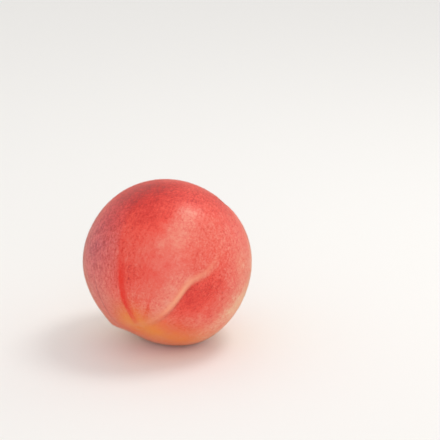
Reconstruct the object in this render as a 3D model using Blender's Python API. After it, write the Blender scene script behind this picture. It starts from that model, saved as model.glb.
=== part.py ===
"""A ripe white peach as picked, lying on its fuller lobe on a small flat spot.

The whole fruit is one grown body. In its own axes +Z is the stem end, -Z the tip, and the suture's
plane is +X, with the pinched crease on that side. The lobe toward -Y has a steep wall into the
crease and the lobe toward +Y a gentle one. A formula gives the skin's distance from the middle at
every angle, and the finished fruit is turned to the pose in which it lies.
"""
import math

import bmesh
import bpy
from mathutils import Euler, Vector

# Main sizes of the fruit, in metres
HALF_WIDTH_SUTURE = 0.0426
HALF_WIDTH_CHEEKS = 0.0431
HALF_HEIGHT_STEM = 0.0419
HALF_HEIGHT_TIP = 0.0399
FULLNESS = 2.12

# The cavity that the stalk left, and the round scar at its bottom
CAVITY_DEPTH = 0.0138
CAVITY_WIDTH = math.radians(13.8)
CAVITY_FALL = 2.0
SCAR_RAISE = 0.0010
SCAR_WIDTH = math.radians(4.0)

# The suture, a shallow valley from the stem's cavity to the tip
VALLEY_DEPTH = 0.0006
VALLEY_WIDTH = 0.0065
SHOULDER_NOTCH_DEPTH = 0.0034
SHOULDER_NOTCH_REACH = math.radians(19.0)

# The pinched crease in it, measured from the tip
PINCH_DEPTH = 0.0038
PINCH_MIDDLE = math.radians(53.0)
PINCH_REACH_TIP = math.radians(27.0)
PINCH_REACH_STEM = math.radians(14.0)
STEEP_WALL = 0.0022
GENTLE_WALL = 0.0115
CREASE_ROUNDING = 0.0003
BEND_ANGLE = math.radians(-7.5)
BEND_MIDDLE = math.radians(60.0)
BEND_REACH_TIP = math.radians(25.0)
BEND_REACH_STEM = math.radians(12.0)

# Dimple at the tip, with a tiny point in it
TIP_DIMPLE_DEPTH = 0.0007
TIP_DIMPLE_WIDTH = math.radians(9.0)
TIP_POINT_HEIGHT = 0.0007
TIP_POINT_WIDTH = math.radians(2.2)

# Swellings and hollows that make the round uneven: raise, angle from the tip, longitude, spread
SWELLINGS = (
    (0.0013, math.radians(51.0), math.radians(76.0), math.radians(20.0)),
    (-0.0011, math.radians(24.0), math.radians(148.0), math.radians(11.0)),
    (0.0010, math.radians(29.0), math.radians(-177.0), math.radians(7.0)),
    (-0.0004, math.radians(50.0), math.radians(-147.0), math.radians(14.0)),
    (-0.0005, math.radians(120.0), math.radians(-95.0), math.radians(40.0)),
)

# How the fruit lies, and the flat spot under it
TURN = math.radians(59.8)
TILT = math.radians(49.8)
ROLL = math.radians(-113.8)
FLAT_DEPTH = 0.00115

# The net of rings and meridians, closer together at the crease and at both ends
MERIDIANS = 88
RINGS = 48
CREASE_CROWDING = 0.55
END_CROWDING = 0.3

SKIN_COLOUR = (0.81, 0.17, 0.12, 1.0)
SKIN_ROUGHNESS = 0.75


def bell(distance, reach):
    """A smooth hump: 1 at no distance, 0.37 at the reach."""
    return math.exp(-((distance / reach) ** 2))


def lopsided_bell(position, middle, reach_below, reach_above):
    """A hump that falls off at its own rate on each side of its middle."""
    reach = reach_below if position < middle else reach_above
    return bell(position - middle, reach)


def direction(from_stem, longitude):
    """The unit vector at an angle from the stem end and a longitude from the suture."""
    ring = math.sin(from_stem)
    return Vector((ring * math.cos(longitude), ring * math.sin(longitude), math.cos(from_stem)))


def crease_longitude(from_tip):
    """The longitude of the crease, which swings to the steep lobe and back."""
    return BEND_ANGLE * lopsided_bell(from_tip, BEND_MIDDLE, BEND_REACH_TIP, BEND_REACH_STEM)


def plain_radius(from_stem, longitude):
    """The fruit without its cavity, crease and swellings: a fuller kind of ellipsoid."""
    half_height = HALF_HEIGHT_STEM if from_stem < math.pi / 2 else HALF_HEIGHT_TIP
    ring = math.sin(from_stem)
    width = math.hypot(
        ring * math.cos(longitude) / HALF_WIDTH_SUTURE, ring * math.sin(longitude) / HALF_WIDTH_CHEEKS
    )
    height = abs(math.cos(from_stem)) / half_height
    return (width**FULLNESS + height**FULLNESS) ** (-1.0 / FULLNESS)


def suture_depth(from_stem, longitude, radius):
    """How deep the suture lies at a point, by its distance from the crease's line."""
    from_tip = math.pi - from_stem
    pinch = lopsided_bell(from_tip, PINCH_MIDDLE, PINCH_REACH_TIP, PINCH_REACH_STEM)
    notch = bell(from_stem, SHOULDER_NOTCH_REACH)
    depth = VALLEY_DEPTH + PINCH_DEPTH * pinch + SHOULDER_NOTCH_DEPTH * notch
    aside = longitude - crease_longitude(from_tip)
    distance = 2.0 * radius * math.sin(from_stem) * abs(math.sin(aside / 2.0))
    distance = math.hypot(distance, CREASE_ROUNDING) - CREASE_ROUNDING
    side = math.sin(aside)
    gentle_share = 0.5 + 0.5 * side / math.hypot(side, 0.02)
    pinched_wall = STEEP_WALL + (GENTLE_WALL - STEEP_WALL) * gentle_share
    wall = VALLEY_WIDTH + (pinched_wall - VALLEY_WIDTH) * pinch
    return depth * math.exp(-distance / wall)


def end_relief(from_stem):
    """The stem's cavity with its scar, and the tip's dimple with its point."""
    from_tip = math.pi - from_stem
    cavity = -CAVITY_DEPTH * math.exp(-((from_stem / CAVITY_WIDTH) ** CAVITY_FALL))
    scar = SCAR_RAISE * bell(from_stem, SCAR_WIDTH)
    dimple = -TIP_DIMPLE_DEPTH * bell(from_tip, TIP_DIMPLE_WIDTH)
    point = TIP_POINT_HEIGHT * bell(from_tip, TIP_POINT_WIDTH)
    return cavity + scar + dimple + point


def swelling(from_stem, longitude):
    """The sum of the broad swellings and hollows at a point."""
    here = direction(from_stem, longitude)
    total = 0.0
    for raise_, from_tip, middle_longitude, spread in SWELLINGS:
        middle = direction(math.pi - from_tip, middle_longitude)
        total += raise_ * bell(here.angle(middle, 0.0), spread)
    return total


def skin_point(from_stem, longitude):
    """The place on the skin at an angle from the stem end and a longitude."""
    radius = plain_radius(from_stem, longitude)
    radius += swelling(from_stem, longitude) + end_relief(from_stem)
    radius -= suture_depth(from_stem, longitude, radius)
    return radius * direction(from_stem, longitude)


def crowded_angles(ball_point):
    """Moves a ball's rings and meridians closer together where the fruit is most shaped."""
    ring = math.acos(max(-1.0, min(1.0, ball_point.z)))
    around = math.atan2(ball_point.y, ball_point.x)
    from_stem = ring - END_CROWDING * math.sin(2.0 * ring) / 2.0
    crowded = around - CREASE_CROWDING * math.sin(around)
    follow = math.cos(crowded / 2.0) ** 2
    longitude = crowded + follow * crease_longitude(math.pi - from_stem)
    return from_stem, longitude


def cut_flat_spot(bm):
    """Cuts the lowest part of the skin off level and closes the cut with one flat face."""
    lowest = min(vert.co.z for vert in bm.verts)
    cut = bmesh.ops.bisect_plane(
        bm,
        geom=bm.verts[:] + bm.edges[:] + bm.faces[:],
        plane_co=(0.0, 0.0, lowest + FLAT_DEPTH),
        plane_no=(0.0, 0.0, -1.0),
        clear_outer=True,
    )
    rim = [item for item in cut["geom_cut"] if isinstance(item, bmesh.types.BMEdge)]
    bmesh.ops.edgenet_fill(bm, edges=rim)


def place_on_origin(bm):
    """Moves the fruit so that the middle of its box's bottom is at the origin."""
    for axis in range(3):
        places = [vert.co[axis] for vert in bm.verts]
        low, high = min(places), max(places)
        shift = Vector((0.0, 0.0, 0.0))
        shift[axis] = -low if axis == 2 else -(low + high) / 2.0
        bmesh.ops.translate(bm, verts=bm.verts, vec=shift)


def skin_material():
    """The skin's coral blush."""
    material = bpy.data.materials.new("skin")
    material.use_nodes = True
    shader = material.node_tree.nodes["Principled BSDF"]
    shader.inputs["Base Color"].default_value = SKIN_COLOUR
    shader.inputs["Roughness"].default_value = SKIN_ROUGHNESS
    shader.inputs["Metallic"].default_value = 0.0
    return material


def make_peach():
    """Builds the fruit from a ball, turns it to the pose in which it lies, and cuts its flat spot."""
    bm = bmesh.new()
    bmesh.ops.create_uvsphere(bm, u_segments=MERIDIANS, v_segments=RINGS, radius=1.0)
    for vert in bm.verts:
        from_stem, longitude = crowded_angles(vert.co)
        vert.co = skin_point(from_stem, longitude)
    pose = (
        Euler((0.0, 0.0, TURN)).to_matrix()
        @ Euler((0.0, TILT, 0.0)).to_matrix()
        @ Euler((0.0, 0.0, ROLL)).to_matrix()
    )
    bmesh.ops.transform(bm, matrix=pose.to_4x4(), verts=bm.verts)
    cut_flat_spot(bm)
    place_on_origin(bm)
    bmesh.ops.recalc_face_normals(bm, faces=bm.faces)
    mesh = bpy.data.meshes.new("peach")
    bm.to_mesh(mesh)
    bm.free()
    mesh.materials.append(skin_material())
    mesh.shade_smooth()
    mesh.set_sharp_from_angle(angle=math.radians(50.0))
    peach = bpy.data.objects.new("peach", mesh)
    bpy.context.collection.objects.link(peach)
    return peach


def main():
    """Clears the scene and builds the peach."""
    for old in list(bpy.data.objects):
        bpy.data.objects.remove(old, do_unlink=True)
    make_peach()


main()
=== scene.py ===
"""Looks of a ripe white peach as picked: its skin, the down on it, and a plain pale studio.

The skin stands for the part's one solid, and the down grows on it. All sizes are in metres and all
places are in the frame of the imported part. In the fruit's own axes +Z is the stem end, -Z the tip,
and longitude 0 is the suture, with the steep lobe at negative longitudes and the gentle lobe at
positive ones.
"""
import logging
import math
from dataclasses import dataclass
from enum import Enum
from functools import partial, reduce

import bmesh
import bpy
import numpy as np
from mathutils import Euler, Matrix, Vector, noise


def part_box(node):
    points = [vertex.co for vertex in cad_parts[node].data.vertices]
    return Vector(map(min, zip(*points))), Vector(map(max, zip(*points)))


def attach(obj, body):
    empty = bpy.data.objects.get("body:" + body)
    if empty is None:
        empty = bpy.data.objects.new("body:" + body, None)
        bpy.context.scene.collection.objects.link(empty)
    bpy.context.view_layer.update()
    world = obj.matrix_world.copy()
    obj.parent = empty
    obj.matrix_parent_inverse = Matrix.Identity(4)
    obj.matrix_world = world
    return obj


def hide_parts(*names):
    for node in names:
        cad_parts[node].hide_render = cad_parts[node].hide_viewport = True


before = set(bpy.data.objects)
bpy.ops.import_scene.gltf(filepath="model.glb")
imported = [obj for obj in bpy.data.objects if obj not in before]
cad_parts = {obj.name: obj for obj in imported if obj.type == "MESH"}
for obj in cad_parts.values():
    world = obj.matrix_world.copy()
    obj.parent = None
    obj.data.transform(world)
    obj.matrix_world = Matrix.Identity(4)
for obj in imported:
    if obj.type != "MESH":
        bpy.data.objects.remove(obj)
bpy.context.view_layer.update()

NODE = "peach"
BODY = "root"
MM = 0.001
DEG = math.pi / 180.0
Socket = bpy.types.NodeSocket

log = logging.getLogger("peach")


class Tone(Enum):
    """The colours of the fruit and the studio, as red, green and blue from 0 to 255."""

    PALE_PINK = (238, 148, 126)
    SALMON = (235, 109, 92)
    CORAL = (235, 74, 58)
    DEEP_RED = (210, 36, 28)
    WINE = (166, 28, 30)
    STREAK_RED = (232, 34, 4)
    CREAM = (246, 220, 178)
    CREAM_ROSE = (242, 158, 130)
    HONEY = (240, 134, 36)
    PALE_GREEN = (226, 208, 146)
    MAUVE_PALE = (218, 113, 126)
    MAUVE_DEEP = (156, 56, 69)
    # The dark seam's colour, also used as painted shade along the crease's floor.
    SEAM_AND_CREASE_SHADE = (160, 56, 50)
    # The crease's pale crest: partly paler skin, partly painted sheen of the down seen edge-on.
    CREASE_PALE_SHEEN = (248, 171, 132)
    SCAR_BROWN = (120, 84, 52)
    SCAR_TAN = (186, 150, 100)
    DOWN_CREAM = (248, 220, 172)
    DOWN_ROSE = (244, 178, 156)
    DOWN_CORAL = (222, 106, 86)
    DOWN_LILAC = (198, 142, 146)
    FLOOR = (243, 241, 238)

    def linear(self) -> tuple[float, float, float, float]:
        """Gives the colour as a shader takes it.

        Returns:
            Red, green and blue in linear light, and an alpha of 1.
        """
        parts = []
        for part in self.value:
            level = part / 255.0
            parts.append(level / 12.92 if level <= 0.04045 else ((level + 0.055) / 1.055) ** 2.4)
        return (parts[0], parts[1], parts[2], 1.0)


def bell(distance: np.ndarray, reach: float | np.ndarray) -> np.ndarray:
    """Shapes a smooth hump of height 1, which has fallen to 0.37 at its reach."""
    return np.exp(-((distance / reach) ** 2))


def smooth_step(low: float, high: float, value: np.ndarray) -> np.ndarray:
    """Rises smoothly from 0 to 1, or falls where low is the higher.

    Args:
        low: The place that gives 0.
        high: The place that gives 1.
        value: The places.

    Returns:
        The height at each place.
    """
    share = np.clip((value - low) / (high - low), 0.0, 1.0)
    return share * share * (3.0 - 2.0 * share)


def directions(from_stem: np.ndarray, longitude: np.ndarray) -> np.ndarray:
    """Turns angles, in radians, into unit vectors in the fruit's own axes, one row each."""
    ring = np.sin(from_stem)
    return np.stack([ring * np.cos(longitude), ring * np.sin(longitude), np.cos(from_stem)], axis=-1)


@dataclass(frozen=True)
class Spot:
    """A soft round place on the fruit, where its shape or its colour changes.

    Its middle is at an angle from the tip and a longitude, both in degrees, and so is its spread.
    The amount is a height in metres for a shape, or a strength for a colour.
    """

    amount: float
    from_tip: float
    longitude: float
    spread: float

    def over(self, rays: np.ndarray) -> np.ndarray:
        """Gives the spot's effect.

        Args:
            rays: Unit vectors in the fruit's own axes.

        Returns:
            The effect along each of them.
        """
        from_stem = np.array(math.pi - math.radians(self.from_tip))
        middle = directions(from_stem, np.array(math.radians(self.longitude)))
        angle = np.arccos(np.clip(rays @ middle, -1.0, 1.0))
        return self.amount * bell(angle, math.radians(self.spread))


def spots(*rows: tuple[float, float, float, float]) -> tuple[Spot, ...]:
    """Makes spots, each from its amount, angle from the tip, longitude and spread."""
    return tuple(Spot(*row) for row in rows)


@dataclass(frozen=True)
class Hump:
    """A smooth hump along the suture: its middle, as an angle from the tip, and its reach each way."""

    middle: float
    reach_tip: float
    reach_stem: float

    def over(self, from_tip: np.ndarray) -> np.ndarray:
        """Gives the hump's height, from 0 to 1, at each angle from the tip."""
        reach = np.where(from_tip < self.middle, self.reach_tip, self.reach_stem)
        return bell(from_tip - self.middle, reach)


@dataclass(frozen=True)
class FruitForm:
    """The fruit's surface as a formula, with the same sizes as the solid's."""

    half_width_suture: float = 42.6 * MM
    half_width_cheeks: float = 43.1 * MM
    half_height_stem: float = 41.9 * MM
    half_height_tip: float = 39.9 * MM
    fullness: float = 2.12
    cavity_depth: float = 13.8 * MM
    cavity_width: float = 13.8 * DEG
    cavity_fall: float = 2.0
    scar_raise: float = 1.0 * MM
    scar_width: float = 4.0 * DEG
    valley_depth: float = 0.6 * MM
    valley_width: float = 6.5 * MM
    notch_depth: float = 3.4 * MM
    notch_reach: float = 19.0 * DEG
    pinch_depth: float = 3.8 * MM
    pinch: Hump = Hump(53.0 * DEG, 27.0 * DEG, 14.0 * DEG)
    steep_wall: float = 2.2 * MM
    gentle_wall: float = 11.5 * MM
    crease_rounding: float = 0.3 * MM
    bend_angle: float = -7.5 * DEG
    bend: Hump = Hump(60.0 * DEG, 25.0 * DEG, 12.0 * DEG)
    dimple_depth: float = 0.7 * MM
    dimple_width: float = 9.0 * DEG
    point_height: float = 0.7 * MM
    point_width: float = 2.2 * DEG
    swellings: tuple[Spot, ...] = (
        Spot(1.3 * MM, 51.0, 76.0, 20.0),
        Spot(-1.1 * MM, 24.0, 148.0, 11.0),
        Spot(1.0 * MM, 29.0, -177.0, 7.0),
        Spot(-0.4 * MM, 50.0, -147.0, 14.0),
        Spot(-0.5 * MM, 120.0, -95.0, 40.0),
    )
    turn: float = 59.8 * DEG
    tilt: float = 49.8 * DEG
    roll: float = -113.8 * DEG

    def crease_longitude(self, from_tip: np.ndarray) -> np.ndarray:
        """Gives the longitude of the crease at each angle from the tip, in radians."""
        return self.bend_angle * self.bend.over(from_tip)

    def plain_radius(self, from_stem: np.ndarray, longitude: np.ndarray) -> np.ndarray:
        """Gives the plain round fruit.

        Args:
            from_stem: Angles from the stem end.
            longitude: Angles from the suture.

        Returns:
            The distance from the middle to the skin, without cavity, crease and swellings.
        """
        half_height = np.where(from_stem < math.pi / 2, self.half_height_stem, self.half_height_tip)
        ring = np.sin(from_stem)
        along = ring * np.cos(longitude) / self.half_width_suture
        across = ring * np.sin(longitude) / self.half_width_cheeks
        width = np.hypot(along, across)
        height = np.abs(np.cos(from_stem)) / half_height
        return (width**self.fullness + height**self.fullness) ** (-1.0 / self.fullness)

    def suture_depth(self, from_stem: np.ndarray, longitude: np.ndarray, radius: np.ndarray) -> np.ndarray:
        """Gives how deep the suture lies.

        Args:
            from_stem: Angles from the stem end.
            longitude: Angles from the suture.
            radius: Distances from the middle to the skin beside it.

        Returns:
            The depth at each place.
        """
        from_tip = math.pi - from_stem
        pinch = self.pinch.over(from_tip)
        depth = self.valley_depth + self.pinch_depth * pinch
        depth = depth + self.notch_depth * bell(from_stem, self.notch_reach)
        aside = longitude - self.crease_longitude(from_tip)
        distance = 2.0 * radius * np.sin(from_stem) * np.abs(np.sin(aside / 2.0))
        distance = np.hypot(distance, self.crease_rounding) - self.crease_rounding
        side = np.sin(aside)
        gentle_share = 0.5 + 0.5 * side / np.hypot(side, 0.02)
        pinched_wall = self.steep_wall + (self.gentle_wall - self.steep_wall) * gentle_share
        wall = self.valley_width + (pinched_wall - self.valley_width) * pinch
        return depth * np.exp(-distance / wall)

    def end_relief(self, from_stem: np.ndarray) -> np.ndarray:
        """Gives the cavity, the scar, the dimple and the tip's point together, as heights."""
        from_tip = math.pi - from_stem
        cavity = -self.cavity_depth * np.exp(-((from_stem / self.cavity_width) ** self.cavity_fall))
        scar = self.scar_raise * bell(from_stem, self.scar_width)
        dimple = -self.dimple_depth * bell(from_tip, self.dimple_width)
        point = self.point_height * bell(from_tip, self.point_width)
        return cavity + scar + dimple + point

    def radius(self, from_stem: np.ndarray, longitude: np.ndarray) -> np.ndarray:
        """Gives the fruit's whole shape.

        Args:
            from_stem: Angles from the stem end.
            longitude: Angles from the suture.

        Returns:
            The distance from the middle to the skin.
        """
        rays = directions(from_stem, longitude)
        radius = self.plain_radius(from_stem, longitude) + self.end_relief(from_stem)
        for swelling in self.swellings:
            radius = radius + swelling.over(rays)
        return radius - self.suture_depth(from_stem, longitude, radius)

    def pose(self) -> np.ndarray:
        """Gives the turn from the fruit's own axes to the pose in which it lies, as a 3 by 3 array."""
        turn = Euler((0.0, 0.0, self.turn)).to_matrix()
        tilt = Euler((0.0, self.tilt, 0.0)).to_matrix()
        roll = Euler((0.0, 0.0, self.roll)).to_matrix()
        return np.array(turn @ tilt @ roll)

    def seat(self) -> np.ndarray:
        """Gives the place of the fruit's middle in the frame, worked out from the solid's box.

        Returns:
            Its x, y and z.
        """
        steps = 181
        from_stem, longitude = np.meshgrid(
            np.linspace(0.0, math.pi, steps), np.linspace(-math.pi, math.pi, 2 * steps)
        )
        from_stem, longitude = from_stem.ravel(), longitude.ravel()
        points = directions(from_stem, longitude) * self.radius(from_stem, longitude)[:, None]
        points = points @ self.pose().T
        low, high = (np.array(corner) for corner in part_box(NODE))
        place = (low + high) / 2.0 - (points.min(axis=0) + points.max(axis=0)) / 2.0
        place[2] = high[2] - points[:, 2].max()
        return place


class Wiring:
    """Adds shader nodes to one material and joins them."""

    def __init__(self, name: str) -> None:
        """Makes an empty material.

        Args:
            name: The material's name.
        """
        self.material = bpy.data.materials.new(name)
        self.material.use_nodes = True
        self.tree = self.material.node_tree
        self.shader = self.tree.nodes["Principled BSDF"]

    def node(self, kind: str, **settings: object) -> bpy.types.Node:
        """Adds a node.

        Args:
            kind: The node's type, without its ShaderNode prefix.
            settings: Its properties.

        Returns:
            The node.
        """
        made = self.tree.nodes.new("ShaderNode" + kind)
        for name, value in settings.items():
            setattr(made, name, value)
        return made

    def join(self, source: object, socket: Socket) -> None:
        """Feeds a socket.

        Args:
            source: An output socket, a number or a colour.
            socket: The input that takes it.
        """
        if isinstance(source, Socket):
            self.tree.links.new(source, socket)
        elif isinstance(source, Tone):
            socket.default_value = source.linear()
        else:
            socket.default_value = source

    def maths(self, operation: str, *inputs: object) -> Socket:
        """Adds a sum.

        Args:
            operation: What it works out, such as ADD.
            inputs: Its numbers or sockets.

        Returns:
            The result's socket.
        """
        made = self.node("Math", operation=operation)
        for source, socket in zip(inputs, made.inputs):
            self.join(source, socket)
        return made.outputs[0]

    def fill(self, made: bpy.types.Node, inputs: dict[str, object]) -> None:
        """Feeds the inputs of a node, each by its name."""
        for name, source in inputs.items():
            self.join(source, made.inputs[name])

    def clamped(self, source: object) -> Socket:
        """Keeps a number from 0 to 1."""
        made = self.node("Clamp")
        self.join(source, made.inputs["Value"])
        return made.outputs[0]

    def total(self, *inputs: object) -> Socket:
        """Adds all its inputs up."""
        return reduce(partial(self.maths, "ADD"), inputs)

    def product(self, *inputs: object) -> Socket:
        """Multiplies all its inputs."""
        return reduce(partial(self.maths, "MULTIPLY"), inputs)

    def hump(self, distance: object, reach: float, middle: float = 0.0) -> Socket:
        """Shapes a smooth hump, as bell does.

        Args:
            distance: The socket that holds the place.
            reach: Where the hump has fallen to 0.37.
            middle: The place of its top.

        Returns:
            The hump's height.
        """
        aside = self.maths("DIVIDE", self.maths("SUBTRACT", distance, middle), reach)
        square = self.maths("MULTIPLY", aside, aside)
        return self.maths("EXPONENT", self.maths("MULTIPLY", square, -1.0))

    def rise(self, source: object, low: float, high: float) -> Socket:
        """Rises smoothly from 0 to 1 between two values, or falls where low is the higher.

        Args:
            source: The socket that holds the value.
            low: The value that gives 0.
            high: The value that gives 1.

        Returns:
            The height.
        """
        made = self.node("MapRange", interpolation_type="SMOOTHSTEP")
        start, end = (1.0, 0.0) if low > high else (0.0, 1.0)
        limits = {"From Min": min(low, high), "From Max": max(low, high), "To Min": start, "To Max": end}
        self.fill(made, {"Value": source, **limits})
        return made.outputs[0]

    def attribute(self, name: str) -> tuple[Socket, ...]:
        """Reads a vector that the mesh carries.

        Args:
            name: The attribute's name.

        Returns:
            Its three numbers and the vector itself.
        """
        made = self.node("Attribute", attribute_name=name)
        split = self.node("SeparateXYZ")
        self.join(made.outputs["Vector"], split.inputs[0])
        return (*split.outputs, made.outputs["Vector"])

    def scaled(self, vector: object, scale: tuple[float, float, float]) -> Socket:
        """Stretches a vector.

        Args:
            vector: The socket that holds it.
            scale: The factor along each axis.

        Returns:
            The stretched vector.
        """
        made = self.node("Mapping")
        self.fill(made, {"Vector": vector, "Scale": scale})
        return made.outputs[0]

    def grain(self, vector: object, scale: float, detail: float = 2.0, roughness: float = 0.5) -> object:
        """Adds noise whose mean is 0.

        Args:
            vector: Where it is read.
            scale: How many of its patches there are to a unit.
            detail: How many finer layers it has.
            roughness: How strong those are.

        Returns:
            Noise from about -0.5 to 0.5.
        """
        made = self.node("TexNoise")
        self.fill(made, {"Vector": vector, "Scale": scale, "Detail": detail, "Roughness": roughness})
        return self.maths("SUBTRACT", made.outputs[0], 0.5)

    def dots(self, vector: object, scale: float, size: float) -> Socket:
        """Adds small soft dots.

        Args:
            vector: Where they are read.
            scale: How many there are to a unit.
            size: Their radius as a share of their spacing.

        Returns:
            1 at each dot's middle, falling to 0.
        """
        made = self.node("TexVoronoi")
        self.fill(made, {"Vector": vector, "Scale": scale})
        return self.rise(made.outputs["Distance"], size, 0.0)

    def ramp(self, source: object, stops: list[tuple[float, Tone]]) -> Socket:
        """Turns a number into a colour.

        Args:
            source: The number's socket.
            stops: Places from 0 to 1, each with its colour.

        Returns:
            The colour.
        """
        made = self.node("ValToRGB")
        self.join(source, made.inputs[0])
        elements = made.color_ramp.elements
        while len(elements) < len(stops):
            elements.new(0.5)
        for element, (place, tone) in zip(elements, stops):
            element.position = place
            element.color = tone.linear()
        return made.outputs[0]

    def blend(self, share: object, under: object, over: object) -> Socket:
        """Lays one colour over another.

        Args:
            share: How much of the upper one shows, which is kept from 0 to 1.
            under: The lower colour.
            over: The upper colour.

        Returns:
            The mixed colour.
        """
        made = self.node("Mix", data_type="RGBA", blend_type="MIX")
        self.join(self.clamped(share), made.inputs[0])
        self.join(under, made.inputs[6])
        self.join(over, made.inputs[7])
        return made.outputs[2]


@dataclass(frozen=True)
class Path:
    """A line down the skin to the tip.

    It runs through places, each with an angle from the tip, a longitude, both in degrees, and a
    strength from 0 to 1.
    """

    places: tuple[tuple[float, float, float], ...]

    def longitude(self, from_tip: np.ndarray) -> np.ndarray:
        """Gives the line's longitude at each angle from the tip, in radians."""
        angles, longitudes, _ = zip(*self.places)
        return np.radians(np.interp(np.degrees(from_tip), angles, longitudes))

    def measure(self, places: "Places") -> tuple[np.ndarray, np.ndarray]:
        """Measures how places on the skin lie to the line.

        Args:
            places: The places.

        Returns:
            Their distances from it, negative on its side of lower longitudes, and its strength there.
        """
        probe = 0.5 * DEG
        ring = np.sin(places.from_tip)
        swing = self.longitude(places.from_tip + probe) - self.longitude(places.from_tip - probe)
        slant = np.hypot(1.0, ring * swing / (2.0 * probe))
        aside = places.longitude - self.longitude(places.from_tip)
        distance = places.radius * ring * np.sin(aside) / slant
        angles, _, strengths = zip(*self.places)
        strength = np.interp(np.degrees(places.from_tip), angles, strengths)
        return distance, strength * smooth_step(0.2, 0.8, np.cos(aside))


@dataclass(frozen=True)
class Places:
    """Where the points of the skin are: their angles, longitudes and distances from the middle."""

    from_stem: np.ndarray
    longitude: np.ndarray
    radius: np.ndarray

    @property
    def from_tip(self) -> np.ndarray:
        """Gives the angles from the tip."""
        return math.pi - self.from_stem

    @property
    def rays(self) -> np.ndarray:
        """Gives the unit vectors to the places."""
        return directions(self.from_stem, self.longitude)


@dataclass(frozen=True)
class Grains:
    """The skin's patterns of noise, from broad clouds to fine specks, each about 0 in the mean."""

    cloud: Socket
    mottle: Socket
    speckle: Socket
    speck: Socket
    long_streak: Socket
    brush: Socket
    dot: Socket

    @classmethod
    def lay(cls, w: Wiring, place: object, meridian: object) -> "Grains":
        """Adds the patterns to a material.

        Args:
            w: The material.
            place: The place on the fruit.
            meridian: The longitude's cosine and sine, and the angle from the tip.

        Returns:
            The patterns.
        """
        return cls(
            cloud=w.grain(place, 45.0, 2.0, 0.5),
            mottle=w.grain(place, 210.0, 3.0, 0.55),
            speckle=w.grain(place, 720.0, 3.0, 0.65),
            speck=w.grain(place, 1600.0, 1.0, 0.5),
            long_streak=w.grain(w.scaled(meridian, (9.0, 9.0, 0.9)), 1.0, 4.0, 0.62),
            brush=w.grain(w.scaled(meridian, (46.0, 46.0, 12.0)), 1.0, 3.0, 0.6),
            dot=w.dots(place, 780.0, 0.42),
        )


@dataclass(frozen=True)
class Blush:
    """Where the fruit's broad colours lie: deep red, pale ground, mauve bloom and warm ground.

    Calm places have fainter speckles than the rest. Some deep-red spots near the top are partly painted
    shade, a few negative deep spots paint a highlight, and some pale spots at the lower right limb are partly
    a painted rim glow.
    """

    deep: tuple[Spot, ...] = spots(
        # The broad spots near the top at 122/-70, 109/-89 and 132/-14 are deeper blush, partly painted shade
        # over the top.
        (0.25, 92.0, -60.0, 15.0), (0.50, 122.0, -70.0, 25.0), (0.50, 109.0, -89.0, 21.0),
        (0.20, 86.0, -86.0, 11.0), (0.25, 50.0, -61.0, 12.0), (0.10, 37.0, -80.0, 9.0),
        # The negative spots at 97/-34, 105/-36 and 83/-38 lighten the skin: a painted highlight.
        (0.14, 75.0, -66.0, 12.0), (-0.28, 97.0, -34.0, 12.0), (-0.22, 105.0, -36.0, 6.0),
        (-0.24, 83.0, -38.0, 9.0), (-0.28, 49.0, -21.0, 8.0), (-0.20, 40.0, -16.0, 7.0),
        (-0.14, 35.0, -46.0, 8.0), (-0.16, 63.0, -20.0, 7.0), (-0.22, 43.0, 23.0, 7.0),
        (0.12, 67.0, 8.0, 8.0), (0.12, 56.0, -39.0, 7.0), (0.30, 132.0, -14.0, 17.0),
        (0.16, 128.0, -42.0, 15.0), (-0.20, 32.0, -22.0, 11.0), (-0.22, 50.0, 60.0, 16.0),
    )
    pale: tuple[Spot, ...] = spots(
        (0.85, 114.0, 62.0, 24.0), (0.80, 78.0, 76.0, 20.0), (0.20, 97.0, 20.0, 8.0),
        # The spots at 84/42, 70/41 and 50/52 pale the lower right limb: paler ground colour, and partly a
        # painted rim glow of back-lit down.
        (0.42, 84.0, 42.0, 11.0), (0.47, 70.0, 41.0, 12.0), (0.30, 50.0, 52.0, 10.0),
        (0.90, 114.0, 145.0, 42.0), (0.70, 60.0, 150.0, 34.0), (0.35, 66.0, -150.0, 26.0),
        (0.13, 34.0, -103.0, 11.0),
    )
    cool: tuple[Spot, ...] = spots(
        (0.56, 68.0, -98.0, 25.0), (0.22, 78.0, -128.0, 26.0), (0.12, 96.0, -102.0, 16.0),
        (0.25, 36.0, -116.0, 16.0),
    )
    warm: tuple[Spot, ...] = spots(
        (0.85, 10.0, 35.0, 15.0), (0.52, 30.0, 58.0, 15.0), (0.28, 46.0, 68.0, 14.0),
        (0.50, 10.0, -116.0, 9.0), (0.25, 20.0, -80.0, 10.0), (0.50, 16.0, -52.0, 11.0),
    )
    calm: tuple[Spot, ...] = spots(
        (0.55, 78.0, -38.0, 22.0), (0.50, 50.0, -36.0, 16.0), (0.35, 94.0, -62.0, 16.0),
        (0.48, 56.0, 6.0, 12.0),
    )

    def fields(self, rays: np.ndarray) -> list[np.ndarray]:
        """Works out how strong each colour is along unit vectors in the fruit's own axes.

        Args:
            rays: The vectors.

        Returns:
            The strengths of the deep red, the pale ground, the mauve, the warm ground and the calm.
        """
        groups = (self.deep, self.pale, self.cool, self.warm, self.calm)
        return [sum(spot.over(rays) for spot in group) for group in groups]


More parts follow.
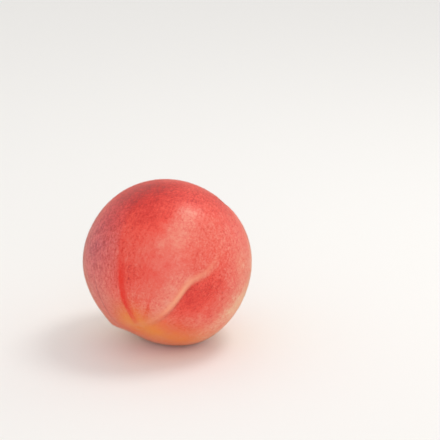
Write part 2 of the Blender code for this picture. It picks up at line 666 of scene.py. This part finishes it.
@dataclass(frozen=True)
class SkinFinish:
    """The skin's colours and surface: coral blush over cream, with streaks, mottles and speckles, and painted
    shade and sheen at the crease.
    """

    red_streak: Path = Path(
        (
            (3.0, -50.0, 0.0), (9.0, -54.0, 0.45), (16.0, -60.0, 0.8),
            (31.0, -68.0, 0.95), (46.0, -69.0, 1.0), (54.0, -69.5, 0.66),
            (62.0, -70.5, 0.34), (78.0, -72.0, 0.16), (92.0, -73.0, 0.0),
        )
    )
    dark_seam: Path = Path(
        (
            (15.0, -172.0, 0.0), (20.0, -151.0, 0.8), (25.0, -129.0, 1.0), (31.0, -118.0, 1.0),
            (37.0, -113.0, 0.9), (45.0, -107.0, 0.7), (52.0, -103.0, 0.4), (60.0, -100.0, 0.0),
        )
    )
    faint_streaks: tuple[Path, ...] = (
        Path(
            (
                (9.0, -31.0, 0.0), (16.0, -31.0, 0.8), (27.0, -33.0, 1.0),
                (38.0, -36.0, 0.6), (50.0, -38.0, 0.0),
            )
        ),
        Path(((8.0, -48.0, 0.0), (20.0, -50.0, 0.5), (34.0, -51.0, 0.5), (44.0, -52.0, 0.0))),
    )
    faint_width: float = 1.0 * MM
    faint_depth: float = 0.32
    streak_outer_edge: tuple[float, float] = (-2.4 * MM, -1.0 * MM)
    streak_inner_edge: tuple[float, float] = (3.6 * MM, -0.4 * MM)
    mauve_edge: tuple[float, float] = (1.6 * MM, -5.0 * MM)
    seam_width: float = 0.55 * MM
    seam_share: float = 0.54
    # The pale crest: partly paler skin, partly painted sheen of the down seen edge-on.
    crest: Hump = Hump(50.0 * DEG, 31.0 * DEG, 26.0 * DEG)
    crest_width: float = 2.0 * MM
    crest_aside: float = -3.4 * MM
    crest_share: float = 0.84
    # Painted shade beside the crease on the gentle lobe, partly deeper blush and partly the shade that falls
    # into the groove.
    shade: Hump = Hump(61.0 * DEG, 21.5 * DEG, 17.0 * DEG)
    shade_width: float = 13.0 * MM
    shade_aside: float = 1.5 * MM
    shade_edge: tuple[float, float] = (-2.2 * MM, 0.5 * MM)
    shade_depth: float = 0.38
    # Painted shade along the bottom of the crease.
    floor_shade_width: float = 0.8 * MM
    floor_shade_aside: float = 0.1 * MM
    floor_shade_share: float = 0.16
    cavity_edge: tuple[float, float] = (2.72, 3.0)
    flute_middle: float = 0.27
    flute_reach: float = 0.11
    base_depth: float = 0.42
    roughness: float = 0.45
    specular: float = 0.48
    subsurface: float = 0.12
    subsurface_colours: tuple[float, float, float] = (1.0, 0.36, 0.2)
    subsurface_depth: float = 2.2 * MM
    sheen: float = 0.25
    sheen_roughness: float = 0.45
    bump_height: float = 0.06 * MM
    bump_strength: float = 0.7
    tints: Blush = Blush()

    def mark(self, mesh: bpy.types.Mesh, form: FruitForm, places: Places, scar: np.ndarray) -> None:
        """Stores on the skin what its material reads.

        Args:
            mesh: The skin.
            form: The fruit's shape.
            places: Where the skin's points are.
            scar: How much of each point belongs to the scar.
        """
        from_tip, longitude = places.from_tip, places.longitude
        deep, pale, cool, warm, calm = self.tints.fields(places.rays)
        streak, streak_strength = self.red_streak.measure(places)
        seam, seam_strength = self.dark_seam.measure(places)
        cool = cool * smooth_step(*self.mauve_edge, streak)
        faint = np.zeros_like(from_tip)
        for line in self.faint_streaks:
            distance, strength = line.measure(places)
            faint = faint + strength * bell(distance, self.faint_width)
        aside = longitude - form.crease_longitude(from_tip)
        front = smooth_step(0.0, 0.6, np.cos(aside))
        distance = places.radius * np.sin(from_tip) * np.sin(aside)
        flute = bell(places.from_stem - self.flute_middle, self.flute_reach)
        lively = 1.0 - calm
        stored = {
            "meridian": (np.cos(longitude), np.sin(longitude), from_tip),
            "suture": (distance, self.shade.over(from_tip) * front, self.crest.over(from_tip) * front),
            "tints": (deep, pale, cool),
            "marks": (warm, faint, scar),
            "lively": (lively, lively, lively),
            "streak": (streak, streak_strength, flute),
            "seam": (seam, seam_strength, form.pinch.over(from_tip) * front),
        }
        for name, columns in stored.items():
            carry(mesh, name, np.stack(columns, axis=-1))

    def make(self) -> bpy.types.Material:
        """Builds the skin's material.

        Returns:
            The material.
        """
        w = Wiring("peach skin")
        place = w.node("TexCoord").outputs["Object"]
        _, _, from_tip, meridian = w.attribute("meridian")
        grains = Grains.lay(w, place, meridian)
        colour = self.blush(w, grains)
        colour = self.lines(w, grains, colour)
        colour = self.stem_end(w, grains, colour, from_tip)
        w.join(colour, w.shader.inputs["Base Color"])
        self.surface(w, grains)
        return w.material

    def blush(self, w: Wiring, grains: Grains) -> Socket:
        """Mixes the broad colours: the blush over its pale, warm and mauve grounds, with painted shade beside
        the crease.

        Args:
            w: The material.
            grains: Its patterns.

        Returns:
            The colour.
        """
        aside, shade, _, _ = w.attribute("suture")
        deep, pale, cool, _ = w.attribute("tints")
        warm, faint, _, _ = w.attribute("marks")
        # Painted shade: a deeper red on the gentle side of the crease, partly deeper blush and partly the
        # shade that falls into the groove.
        wall = w.hump(aside, self.shade_width, self.shade_aside)
        gentle_wall = w.product(w.rise(aside, *self.shade_edge), wall, shade)
        lively, _, _, _ = w.attribute("lively")
        fine = w.total(
            w.product(grains.speckle, 1.05),
            w.product(grains.speck, 0.55),
            w.product(grains.brush, 0.60),
            w.product(grains.dot, -0.12),
        )
        fine = w.product(fine, lively)
        broad = w.total(
            w.product(grains.long_streak, 0.30), w.product(grains.mottle, 0.45), w.product(grains.cloud, 0.40)
        )
        depth = w.total(
            self.base_depth,
            deep,
            fine,
            broad,
            w.product(gentle_wall, self.shade_depth),
            w.product(faint, self.faint_depth),
            w.product(pale, -0.25),
        )
        stops = [(0.0, Tone.PALE_PINK), (0.24, Tone.SALMON), (0.46, Tone.CORAL)]
        stops += [(0.72, Tone.DEEP_RED), (1.0, Tone.WINE)]
        colour = w.ramp(w.clamped(w.product(depth, 0.75)), stops)
        dark_specks = w.product(w.rise(fine, 0.02, 0.40), 0.42)
        colour = w.blend(dark_specks, colour, Tone.WINE)
        patchy = w.total(1.0, w.product(grains.mottle, 1.1), w.product(fine, 0.5))
        patchy = w.total(patchy, w.product(grains.cloud, 0.9))
        rosy = w.total(0.26, grains.mottle, w.product(grains.cloud, 1.4), w.product(grains.long_streak, 1.1))
        flush = w.total(rosy, w.product(fine, 1.3))
        cream = w.blend(flush, Tone.CREAM, Tone.CREAM_ROSE)
        edge = w.product(w.rise(pale, 0.05, 0.35), w.rise(pale, 1.0, 0.45))
        stipple = w.total(w.product(fine, 0.9), w.product(grains.mottle, 0.6))
        stipple = w.total(stipple, w.product(grains.long_streak, 0.5))
        ground = w.total(w.product(pale, patchy), w.product(edge, stipple, -1.0))
        colour = w.blend(ground, colour, cream)
        colour = w.blend(w.product(warm, patchy), colour, Tone.HONEY)
        bloom = w.total(0.5, w.product(fine, 2.2), w.product(grains.brush, 1.4), grains.mottle)
        mauve = w.blend(bloom, Tone.MAUVE_PALE, Tone.MAUVE_DEEP)
        return w.blend(w.product(cool, w.total(1.0, grains.mottle)), colour, mauve)

    def lines(self, w: Wiring, grains: Grains, under: object) -> Socket:
        """Draws the red streak, the dark seam, the crease's pale crest, which is partly paler skin and partly
        painted sheen, and painted shade along the crease's floor.

        Args:
            w: The material.
            grains: Its patterns.
            under: The colour under them.

        Returns:
            The colour.
        """
        streak, streak_strength, _, _ = w.attribute("streak")
        seam, seam_strength, pinch, _ = w.attribute("seam")
        aside, _, crest, _ = w.attribute("suture")
        uneven = w.total(1.0, w.product(grains.brush, 0.8), w.product(grains.mottle, 0.6))
        band = w.product(w.rise(streak, *self.streak_outer_edge), w.rise(streak, *self.streak_inner_edge))
        colour = w.blend(w.product(band, streak_strength, uneven), under, Tone.STREAK_RED)
        thread = w.product(w.hump(seam, self.seam_width), seam_strength, uneven, self.seam_share)
        colour = w.blend(thread, colour, Tone.SEAM_AND_CREASE_SHADE)
        # The pale crest is partly paler skin and partly painted sheen of the down seen edge-on.
        crest_pale_sheen = w.hump(aside, self.crest_width, self.crest_aside)
        crest_pale_sheen = w.product(crest_pale_sheen, crest, uneven, self.crest_share)
        colour = w.blend(crest_pale_sheen, colour, Tone.CREASE_PALE_SHEEN)
        # Painted shade along the bottom of the groove.
        floor = w.hump(aside, self.floor_shade_width, self.floor_shade_aside)
        floor = w.product(floor, pinch, self.floor_shade_share)
        return w.blend(floor, colour, Tone.SEAM_AND_CREASE_SHADE)

    def stem_end(self, w: Wiring, grains: Grains, under: object, from_tip: object) -> Socket:
        """Colours the stem's cavity and the scar in it.

        Args:
            w: The material.
            grains: Its patterns.
            under: The colour of the skin.
            from_tip: The angle from the tip.

        Returns:
            The colour.
        """
        _, _, scar, _ = w.attribute("marks")
        _, _, flute, _ = w.attribute("streak")
        reach = w.total(from_tip, w.product(grains.cloud, 0.25), w.product(grains.brush, 0.10))
        hollow = w.product(w.rise(reach, *self.cavity_edge), w.total(0.85, w.product(grains.mottle, 0.5)))
        colour = w.blend(hollow, under, Tone.PALE_GREEN)
        rays = w.product(flute, w.rise(grains.brush, -0.10, 0.22), 0.55)
        colour = w.blend(rays, colour, Tone.SALMON)
        wood_grain = w.clamped(w.total(0.5, w.product(grains.speck, 1.2), grains.speckle))
        wood = w.ramp(wood_grain, [(0.2, Tone.SCAR_BROWN), (0.8, Tone.SCAR_TAN)])
        return w.blend(scar, colour, wood)

    def surface(self, w: Wiring, grains: Grains) -> None:
        """Sets how the skin takes light.

        Args:
            w: The material.
            grains: Its patterns.
        """
        _, _, scar, _ = w.attribute("marks")
        rough = w.total(self.roughness, w.product(grains.mottle, 0.12), w.product(grains.speckle, 0.10))
        bump = w.node("Bump")
        height = w.total(grains.speckle, w.product(grains.speck, 0.6))
        w.fill(bump, {"Distance": self.bump_height, "Strength": self.bump_strength, "Height": height})
        inputs = {
            "Roughness": w.clamped(w.total(rough, w.product(scar, 0.3))),
            "Specular IOR Level": self.specular,
            "Subsurface Weight": self.subsurface,
            "Subsurface Radius": self.subsurface_colours,
            "Subsurface Scale": self.subsurface_depth,
            "Sheen Weight": self.sheen,
            "Sheen Roughness": self.sheen_roughness,
            "Sheen Tint": Tone.DOWN_ROSE,
            "Normal": bump.outputs[0],
        }
        w.fill(w.shader, inputs)


@dataclass
class Skin:
    """The whole outside of the fruit as one fine closed mesh, which stands for the solid."""

    form: FruitForm
    finish: SkinFinish
    meridians: int = 440
    rings: int = 218
    crease_crowding: float = 0.55
    end_crowding: float = 0.3
    waviness: float = 0.10 * MM
    wave_scale: float = 3.2
    scar_radius: float = 2.3 * MM
    flutes: int = 9
    flute_depth: float = 0.35 * MM

    def crowded_angles(self, ball: np.ndarray) -> tuple[np.ndarray, np.ndarray]:
        """Moves a ball's rings and meridians closer together at the crease and at both ends.

        Args:
            ball: The unit ball's points.

        Returns:
            Each point's angle from the stem end, and its longitude.
        """
        ring = np.arccos(np.clip(ball[:, 2], -1.0, 1.0))
        around = np.arctan2(ball[:, 1], ball[:, 0])
        from_stem = ring - self.end_crowding * np.sin(2.0 * ring) / 2.0
        crowded = around - self.crease_crowding * np.sin(around)
        follow = np.cos(crowded / 2.0) ** 2
        return from_stem, crowded + follow * self.form.crease_longitude(math.pi - from_stem)

    def waves(self, rays: np.ndarray) -> np.ndarray:
        """Gives the small natural unevenness of the skin along each unit vector, as heights."""
        heights = [noise.noise(Vector(ray) * self.wave_scale) for ray in rays]
        return self.waviness * np.array(heights)

    def cavity_flutes(self, from_stem: np.ndarray, longitude: np.ndarray) -> np.ndarray:
        """Shapes the shallow flutes that run up the cavity from the scar.

        Args:
            from_stem: Angles from the stem end.
            longitude: Angles from the suture.

        Returns:
            How strong they are at each place, from -1 to 1.
        """
        band = bell(from_stem - 9.0 * DEG, 5.0 * DEG)
        return band * np.sin(self.flutes * longitude + 1.3 * np.sin(2.0 * longitude))

    def build(self) -> bpy.types.Object:
        """Builds the skin, with what its material reads, and hides the solid in its stead.

        Returns:
            The skin's object.
        """
        ball = bmesh.new()
        bmesh.ops.create_uvsphere(ball, u_segments=self.meridians, v_segments=self.rings, radius=1.0)
        mesh = bpy.data.meshes.new("peach_skin")
        ball.to_mesh(mesh)
        ball.free()
        points = read_points(mesh)
        from_stem, longitude = self.crowded_angles(points)
        rays = directions(from_stem, longitude)
        flutes = self.cavity_flutes(from_stem, longitude)
        radius = self.form.radius(from_stem, longitude) + self.waves(rays) + self.flute_depth * flutes
        placed = (rays * radius[:, None]) @ self.form.pose().T + self.form.seat()
        placed[:, 2] = np.maximum(placed[:, 2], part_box(NODE)[0][2])
        write_points(mesh, placed)

        ring_radius = radius * np.sin(from_stem)
        scar = 1.0 - smooth_step(0.75 * self.scar_radius, 1.15 * self.scar_radius, ring_radius)
        scar = scar * (from_stem < 1.0)
        self.finish.mark(mesh, self.form, Places(from_stem, longitude, radius), scar)
        mesh.shade_smooth()
        mesh.materials.append(self.finish.make())
        skin = show(mesh, "peach_skin")
        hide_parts(NODE)
        return skin


def read_points(mesh: bpy.types.Mesh) -> np.ndarray:
    """Gives a mesh's points, one row each."""
    points = np.empty(len(mesh.vertices) * 3, np.float32)
    mesh.vertices.foreach_get("co", points)
    return points.reshape(-1, 3).astype(float)


def write_points(mesh: bpy.types.Mesh, points: np.ndarray) -> None:
    """Moves a mesh's points to new places, one row each."""
    mesh.vertices.foreach_set("co", points.astype(np.float32).ravel())
    mesh.update()


def carry(mesh: bpy.types.Mesh, name: str, rows: np.ndarray) -> None:
    """Stores three numbers on each point of a mesh, one row each."""
    layer = mesh.attributes.new(name, "FLOAT_VECTOR", "POINT")
    layer.data.foreach_set("vector", rows.astype(np.float32).ravel())


def show(mesh: bpy.types.Mesh, name: str) -> bpy.types.Object:
    """Makes a finished mesh a piece of the fruit, which rides with it.

    Args:
        mesh: The mesh, in its place.
        name: The piece's name.

    Returns:
        The object.
    """
    piece = bpy.data.objects.new(name, mesh)
    bpy.context.collection.objects.link(piece)
    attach(piece, BODY)
    return piece


class Lobe(Enum):
    """The two halves of the fruit, by the sign that their side of the suture has."""

    STEEP = -1.0
    GENTLE = 1.0


@dataclass(frozen=True)
class DownFinish:
    """Pale soft hairs that take some of their colour from the skin under them."""

    patch_scale: float = 90.0
    roughness: float = 0.7
    specular: float = 0.2
    streak_inner_edge: tuple[float, float] = (3.0 * MM, 0.0)
    seam_width: float = 0.6 * MM
    seam_depth: float = 1.2
    skin: SkinFinish = SkinFinish()

    def mark(self, mesh: bpy.types.Mesh, places: Places, hair: np.ndarray) -> None:
        """Stores on the hairs what their material reads.

        Args:
            mesh: The hairs.
            places: Where the roots are.
            hair: Which hair each point belongs to.
        """
        deep, pale, cool, warm, _ = self.skin.tints.fields(places.rays)
        aside, strength = self.skin.red_streak.measure(places)
        outer = smooth_step(*self.skin.streak_outer_edge, aside)
        deep = deep + strength * outer * smooth_step(*self.streak_inner_edge, aside)
        cool = cool * smooth_step(*self.skin.mauve_edge, aside)
        aside, strength = self.skin.dark_seam.measure(places)
        deep = deep + self.seam_depth * strength * bell(aside, self.seam_width)
        carry(mesh, "ground", np.stack([deep, pale + warm, cool], axis=-1)[hair])

    def make(self) -> bpy.types.Material:
        """Builds the down's material.

        Returns:
            The material.
        """
        w = Wiring("peach down")
        place = w.node("TexCoord").outputs["Object"]
        deep, pale, cool, _ = w.attribute("ground")
        patches = w.grain(place, self.patch_scale, 3.0, 0.6)
        share = w.total(0.45, deep, w.product(patches, 1.6))
        colour = w.blend(share, Tone.DOWN_ROSE, Tone.DOWN_CORAL)
        colour = w.blend(pale, colour, Tone.DOWN_CREAM)
        colour = w.blend(cool, colour, Tone.DOWN_LILAC)
        rough = w.clamped(w.total(self.roughness, w.product(patches, 0.2)))
        w.fill(w.shader, {"Base Color": colour, "Roughness": rough, "Specular IOR Level": self.specular})
        return w.material


@dataclass
class Down:
    """The short dense hairs of the skin: coats of tiny three-sided cones that lean toward the tip."""

    form: FruitForm
    finish: DownFinish
    doublings: int = 15
    spare_roots: int = 2400
    coats: int = 3
    length: float = 0.46 * MM
    length_spread: float = 0.13 * MM
    length_limits: tuple[float, float] = (0.15 * MM, 0.85 * MM)
    thickness: float = 0.026 * MM
    root_sink: float = 0.05 * MM
    lean: float = 0.35
    stray: float = 0.45
    scatter: float = 0.30
    bare_floor: float = 0.35 * MM
    bare_scar: float = 5.0 * DEG
    probe: float = 0.05 * DEG
    seed: int = 41

    def roots(self, lobe: Lobe, draws: np.random.Generator) -> tuple[np.ndarray, np.ndarray]:
        """Chooses where the hairs of one lobe stand: a sunflower spiral, shaken.

        Args:
            lobe: The lobe.
            draws: The source of random numbers.

        Returns:
            The angles from the stem end, and the longitudes.
        """
        wanted = 2**self.doublings + self.spare_roots
        count = np.arange(wanted) + 0.5
        height = count / wanted
        turn = count * math.pi * (3.0 - math.sqrt(5.0)) + draws.uniform(0.0, 2.0 * math.pi)
        ring = np.sqrt(1.0 - height**2)
        rays = np.stack([ring * np.cos(turn), lobe.value * height, ring * np.sin(turn)], axis=-1)
        spacing = math.sqrt(2.0 * math.pi / wanted)
        rays += draws.normal(0.0, self.scatter * spacing, rays.shape)
        rays /= np.linalg.norm(rays, axis=1)[:, None]
        return np.arccos(np.clip(rays[:, 2], -1.0, 1.0)), np.arctan2(rays[:, 1], rays[:, 0])

    def stand(
        self, from_stem: np.ndarray, longitude: np.ndarray
    ) -> tuple[np.ndarray, np.ndarray, np.ndarray]:
        """Works out how the skin lies at each root.

        Args:
            from_stem: Angles from the stem end.
            longitude: Angles from the suture.

        Returns:
            The roots' places, the skin's outward directions, and the directions down to the tip.
        """
        pose = self.form.pose().T
        places = []
        for lower, aside in ((0.0, 0.0), (self.probe, 0.0), (0.0, self.probe)):
            theta = from_stem + lower
            around = longitude + aside / np.maximum(np.sin(from_stem), 0.02)
            places.append(directions(theta, around) * self.form.radius(theta, around)[:, None])
        downward, sideward = places[1] - places[0], places[2] - places[0]
        outward = np.cross(downward, sideward)
        outward /= np.linalg.norm(outward, axis=1)[:, None]
        downward /= np.linalg.norm(downward, axis=1)[:, None]
        return places[0] @ pose + self.form.seat(), outward @ pose, downward @ pose

    def multiply(self) -> bpy.types.Mesh:
        """Makes one hair, a unit high, and doubles it in place until there are enough.

        Returns:
            The mesh.
        """
        tuft = bmesh.new()
        up = Matrix.Translation((0.0, 0.0, 0.5))
        bmesh.ops.create_cone(
            tuft, cap_ends=True, segments=3, radius1=1.0, radius2=0.0, depth=1.0, matrix=up
        )
        for _ in range(self.doublings):
            bmesh.ops.duplicate(tuft, geom=tuft.verts[:] + tuft.edges[:] + tuft.faces[:])
        mesh = bpy.data.meshes.new("tuft")
        tuft.to_mesh(mesh)
        tuft.free()
        return mesh

    @staticmethod
    def number(mesh: bpy.types.Mesh) -> np.ndarray:
        """Numbers the hairs.

        Args:
            mesh: Separate hairs of four points, each point joined to the other three.

        Returns:
            For each point, which hair it belongs to.
        """
        corners = np.empty(len(mesh.loops), np.int32)
        mesh.loops.foreach_get("vertex_index", corners)
        corners = corners.reshape(-1, 3)
        lowest = np.arange(len(mesh.vertices))
        first = corners.min(axis=1)
        for corner in corners.T:
            np.minimum.at(lowest, corner, first)
        return np.unique(lowest, return_inverse=True)[1]

    def lay_map(self, mesh: bpy.types.Mesh, hair: np.ndarray, shape: np.ndarray) -> None:
        """Gives every hair a small square of its own on a UV map.

        Args:
            mesh: The hairs.
            hair: Which hair each point belongs to.
            shape: Each point's place on the plain hair.
        """
        side = math.ceil(math.sqrt(2**self.doublings))
        cell = np.stack([hair % side, hair // side], axis=-1)
        flat = (cell + 0.5 + 0.4 * shape[:, :2]) / side
        corners = np.empty(len(mesh.loops), np.int32)
        mesh.loops.foreach_get("vertex_index", corners)
        layer = mesh.uv_layers.new(name="OFBake")
        layer.data.foreach_set("uv", flat[corners].astype(np.float32).ravel())

    def build_coat(self, coat: int, lobe: Lobe, material: bpy.types.Material) -> bpy.types.Object:
        """Builds one coat on one lobe.

        Args:
            coat: Its number.
            lobe: The lobe.
            material: The down's material.

        Returns:
            The coat's object.
        """
        draws = np.random.default_rng([self.seed, coat, int(lobe.value > 0)])
        from_stem, longitude = self.roots(lobe, draws)
        place, outward, downward = self.stand(from_stem, longitude)
        free = np.flatnonzero((place[:, 2] > self.bare_floor) & (from_stem > self.bare_scar))
        kept = draws.permutation(free)[: 2**self.doublings]
        place, outward, downward = place[kept], outward[kept], downward[kept]
        count = len(place)
        mesh = self.multiply()
        hair = self.number(mesh)
        shape = read_points(mesh)

        sideward = np.cross(outward, downward)
        spin = draws.uniform(0.0, 2.0 * math.pi, count)[:, None]
        broad = np.cos(spin) * downward + np.sin(spin) * sideward
        across = np.cross(outward, broad)
        astray = draws.normal(0.0, self.stray, (count, 2))
        lean = (self.lean + astray[:, :1]) * downward + astray[:, 1:] * sideward
        rise = outward + lean
        rise /= np.linalg.norm(rise, axis=1)[:, None]
        length = draws.normal(self.length, self.length_spread, count)
        length = np.clip(length, *self.length_limits)[:, None]
        wide, deep, high = (shape[:, axis : axis + 1] for axis in range(3))
        points = (
            place[hair]
            + self.thickness * (wide * broad[hair] + deep * across[hair])
            + high * length[hair] * rise[hair]
            - self.root_sink * outward[hair]
        )
        points[:, 2] = np.maximum(points[:, 2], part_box(NODE)[0][2])
        write_points(mesh, points)
        angles = from_stem[kept], longitude[kept]
        self.finish.mark(mesh, Places(*angles, self.form.radius(*angles)), hair)
        self.lay_map(mesh, hair, shape)
        mesh.shade_smooth()
        mesh.materials.append(material)
        mesh.name = f"down_{lobe.name.lower()}_{coat}"
        return show(mesh, mesh.name)

    def build(self) -> list[bpy.types.Object]:
        """Builds every coat on both lobes.

        Returns:
            Their objects.
        """
        material = self.finish.make()
        return [self.build_coat(coat, lobe, material) for coat in range(self.coats) for lobe in Lobe]


@dataclass(frozen=True)
class FloorFinish:
    """A plain pale matt floor with a trace of unevenness."""

    roughness: float = 0.85
    specular: float = 0.1

    def make(self) -> bpy.types.Material:
        """Builds the floor's material.

        Returns:
            The material.
        """
        w = Wiring("pale floor")
        place = w.node("TexCoord").outputs["Object"]
        rough = w.total(self.roughness, w.product(w.grain(place, 30.0), 0.08))
        w.fill(w.shader, {"Base Color": Tone.FLOOR, "Roughness": rough, "Specular IOR Level": self.specular})
        return w.material


@dataclass(frozen=True)
class Lamp:
    """A square softbox: its place round the fruit, its size, its power and its colour."""

    name: str
    azimuth: float
    elevation: float
    distance: float
    size: float
    watts: float
    colour: tuple[float, float, float] = (1.0, 1.0, 1.0)


@dataclass
class Studio:
    """The floor, the lights and the camera."""

    floor_half: float = 4.0
    world_strength: float = 0.82
    lamps: tuple[Lamp, ...] = (
        Lamp("key", 105.0, 64.0, 0.85, 0.28, 1.75, (1.0, 0.985, 0.96)),
        Lamp("rim", 125.0, 16.0, 5.6, 3.2, 24.0, (1.0, 0.97, 0.92)),
        Lamp("front", 4.0, 8.0, 5.2, 3.6, 60.0),
    )
    view_elevation: float = 20.0 * DEG
    camera_distance: float = 0.80
    picture_side: float = 440.0
    fruit_pixel: tuple[float, float] = (167.0, 260.5)
    pixels_per_metre: float = 1951.0
    sensor: float = 36.0

    def build(self) -> None:
        """Builds the floor, the lights, the world and the camera."""
        low, high = (Vector(corner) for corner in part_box(NODE))
        middle = (low + high) / 2.0
        self.make_floor()
        for lamp in self.lamps:
            self.make_lamp(lamp, middle)
        self.make_world()
        self.make_camera(middle)
        bpy.context.scene.view_settings.view_transform = "Standard"

    def make_floor(self) -> None:
        """Lays the floor under the fruit."""
        plane = bmesh.new()
        bmesh.ops.create_grid(plane, x_segments=1, y_segments=1, size=self.floor_half)
        mesh = bpy.data.meshes.new("floor")
        plane.to_mesh(mesh)
        plane.free()
        mesh.materials.append(FloorFinish().make())
        floor = bpy.data.objects.new("floor", mesh)
        bpy.context.collection.objects.link(floor)

    @staticmethod
    def outward(azimuth: float, elevation: float) -> Vector:
        """Gives the direction from the fruit to a place round it.

        Args:
            azimuth: Degrees from the camera's side, toward the camera's right.
            elevation: Degrees above the horizon.

        Returns:
            A unit vector.
        """
        turn, lift = math.radians(azimuth), math.radians(elevation)
        level = math.cos(lift)
        return Vector((math.sin(turn) * level, -math.cos(turn) * level, math.sin(lift)))

    def make_lamp(self, lamp: Lamp, middle: Vector) -> None:
        """Hangs one softbox.

        Args:
            lamp: The softbox.
            middle: The point it shines on.
        """
        light = bpy.data.lights.new(lamp.name, "AREA")
        light.shape = "SQUARE"
        light.size = lamp.size
        light.energy = lamp.watts
        light.color = lamp.colour
        holder = bpy.data.objects.new(lamp.name, light)
        holder.visible_camera = False
        back = self.outward(lamp.azimuth, lamp.elevation)
        turn = back.to_track_quat("Z", "Y").to_matrix().to_4x4()
        holder.matrix_world = Matrix.Translation(middle + back * lamp.distance) @ turn
        bpy.context.collection.objects.link(holder)

    def make_world(self) -> None:
        """Surrounds the studio with even white light."""
        world = bpy.data.worlds.new("studio")
        world.use_nodes = True
        background = world.node_tree.nodes["Background"]
        background.inputs["Color"].default_value = (1.0, 1.0, 1.0, 1.0)
        background.inputs["Strength"].default_value = self.world_strength
        bpy.context.scene.world = world

    def make_camera(self, middle: Vector) -> None:
        """Sets up a long lens at the photograph's angle, with the fruit where the photograph has it.

        Args:
            middle: The middle of the fruit.
        """
        back = self.outward(0.0, math.degrees(self.view_elevation))
        right = Vector((1.0, 0.0, 0.0))
        up = back.cross(right)
        half_picture = self.picture_side / 2.0
        aim = middle + right * (half_picture - self.fruit_pixel[0]) / self.pixels_per_metre
        aim -= up * (half_picture - self.fruit_pixel[1]) / self.pixels_per_metre
        data = bpy.data.cameras.new("camera")
        data.sensor_width = self.sensor
        data.lens = self.sensor * self.camera_distance * self.pixels_per_metre / self.picture_side
        camera = bpy.data.objects.new("camera", data)
        place = middle + back * self.camera_distance
        turn = (place - aim).to_track_quat("Z", "Y").to_matrix().to_4x4()
        camera.matrix_world = Matrix.Translation(place) @ turn
        bpy.context.collection.objects.link(camera)
        bpy.context.scene.camera = camera


def main() -> None:
    """Builds the skin, the down and the studio in turn."""
    logging.basicConfig(level=logging.INFO, format="%(name)s: %(message)s")
    form = FruitForm()
    skin = Skin(form, SkinFinish()).build()
    log.info("%s has %d faces", skin.name, len(skin.data.polygons))
    for coat in Down(form, DownFinish()).build():
        log.info("%s has %d faces", coat.name, len(coat.data.polygons))
    Studio().build()
    log.info("studio is set up")


if __name__ == "__main__":
    main()
